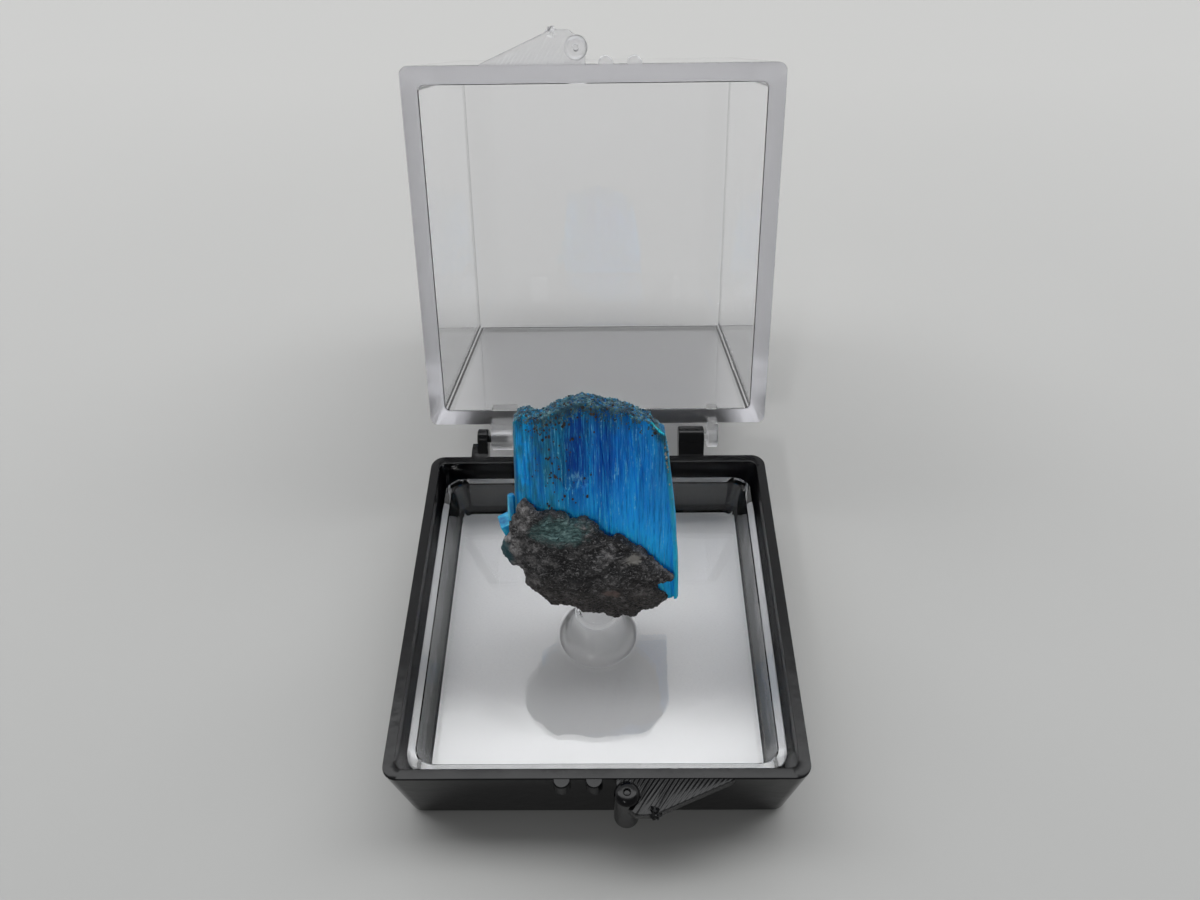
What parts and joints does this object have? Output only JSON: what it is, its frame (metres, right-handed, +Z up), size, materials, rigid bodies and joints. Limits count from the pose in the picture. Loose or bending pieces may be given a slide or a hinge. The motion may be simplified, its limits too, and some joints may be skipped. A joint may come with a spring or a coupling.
{
  "type": "chalcanthite specimen in a hinged box",
  "caption": "Columnar blue chalcanthite on dark matrix, fixed on the pedestal of a small hinged specimen box with a black base and a clear lid.",
  "frame": {"origin": "centre of the box's underside, on the surface it stands on", "axes": "+Z up, +Y from the latch to the hinge, +X to the right seen from the latch; the lid stands open behind"},
  "size_m": [0.032, 0.0748, 0.0427],
  "materials": {
    "black_plastic": "polished black moulding",
    "clear_plastic": "water-clear moulding, faintly violet along its edges",
    "clear_tray": "water-clear moulding",
    "pale_card": "smooth pale grey card",
    "host_rock": "rough, hackly, dark grey with pale fibrous flecks",
    "blue_crystal": "translucent azure, vitreous to silky along the fibres"
  },
  "bodies": {
    "case": {"base": "black_plastic", "insert": "clear_tray", "liner": "pale_card", "matrix": "host_rock", "chalcanthite": "blue_crystal"},
    "lid": {"lid": "clear_plastic"}
  },
  "joints": [
    {"name": "lid_hinge", "type": "hinge", "parent": "case", "child": "lid", "pos_m": [0, 0.01768, 0.0089], "axis": [1, 0, 0], "range_deg": [0, 113.3]}
  ]
}
